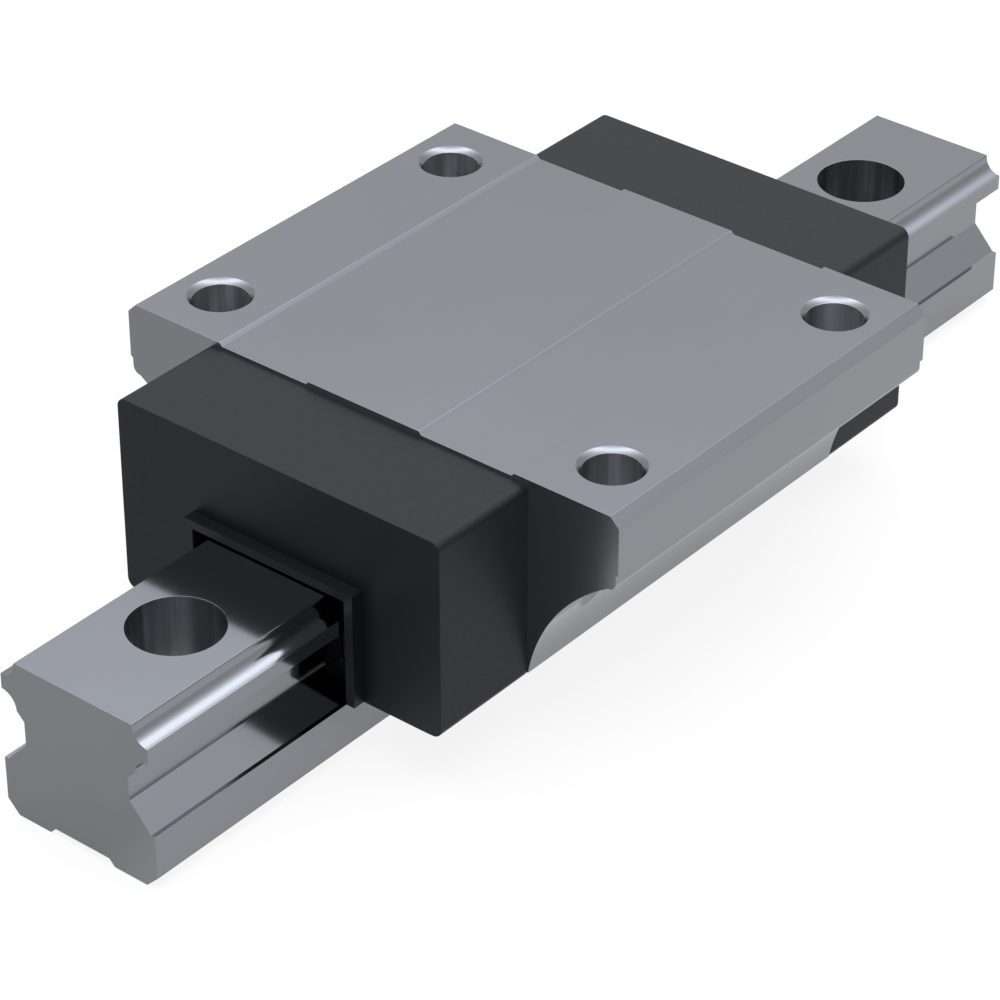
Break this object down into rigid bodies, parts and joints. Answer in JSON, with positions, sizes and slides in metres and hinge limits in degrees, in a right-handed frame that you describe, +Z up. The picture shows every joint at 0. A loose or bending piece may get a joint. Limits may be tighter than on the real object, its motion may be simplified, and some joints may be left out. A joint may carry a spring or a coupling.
{
  "type": "linear guide rail",
  "caption": "Profiled linear guide: a ground steel rail with counterbored screw holes and a wide flanged ball carriage with black end caps.",
  "frame": {"origin": "middle of the rail's underside, which is also the middle of the box's bottom", "axes": "+X along the rail, +Y across it, +Z up out of the rail's head"},
  "size_m": [0.2, 0.09, 0.042],
  "materials": {
    "rail_steel": "ground bright steel",
    "block_steel": "ground bright steel",
    "cap_plastic": "satin black moulded plastic",
    "plate_plastic": "satin black moulded plastic",
    "spool_plastic": "plain natural plastic",
    "retainer_plastic": "satin black moulded plastic",
    "felt": "dense oiled felt",
    "wiper_rubber": "matt black rubber",
    "backing_steel": "thin sheet steel",
    "screw_steel": "blackened steel",
    "ball_steel": "polished bearing steel"
  },
  "bodies": {
    "rail": {"guide_rail": "rail_steel"},
    "carriage": {"carriage_block": "block_steel", "top_ball_retainer": "retainer_plastic", "left_side_ball_retainer": "retainer_plastic", "left_lower_ball_retainer": "retainer_plastic", "left_bottom_seal": "wiper_rubber", "right_side_ball_retainer": "retainer_plastic", "right_lower_ball_retainer": "retainer_plastic", "right_bottom_seal": "wiper_rubber", "front_return_plate": "plate_plastic", "front_plate_screws": "screw_steel", "front_left_spools": "spool_plastic", "front_right_spools": "spool_plastic", "front_oil_felt": "felt", "front_wiper_backing": "backing_steel", "front_wiper": "wiper_rubber", "front_end_cap": "cap_plastic", "rear_return_plate": "plate_plastic", "rear_plate_screws": "screw_steel", "rear_left_spools": "spool_plastic", "rear_right_spools": "spool_plastic", "rear_oil_felt": "felt", "rear_wiper_backing": "backing_steel", "rear_wiper": "wiper_rubber", "rear_end_cap": "cap_plastic", "left_upper_balls": "ball_steel", "left_lower_balls": "ball_steel", "right_upper_balls": "ball_steel", "right_lower_balls": "ball_steel"}
  },
  "joints": [
    {"name": "carriage_slide", "type": "slide", "parent": "rail", "child": "carriage", "axis": [1, 0, 0], "range_m": [-0.038, 0.048]}
  ]
}
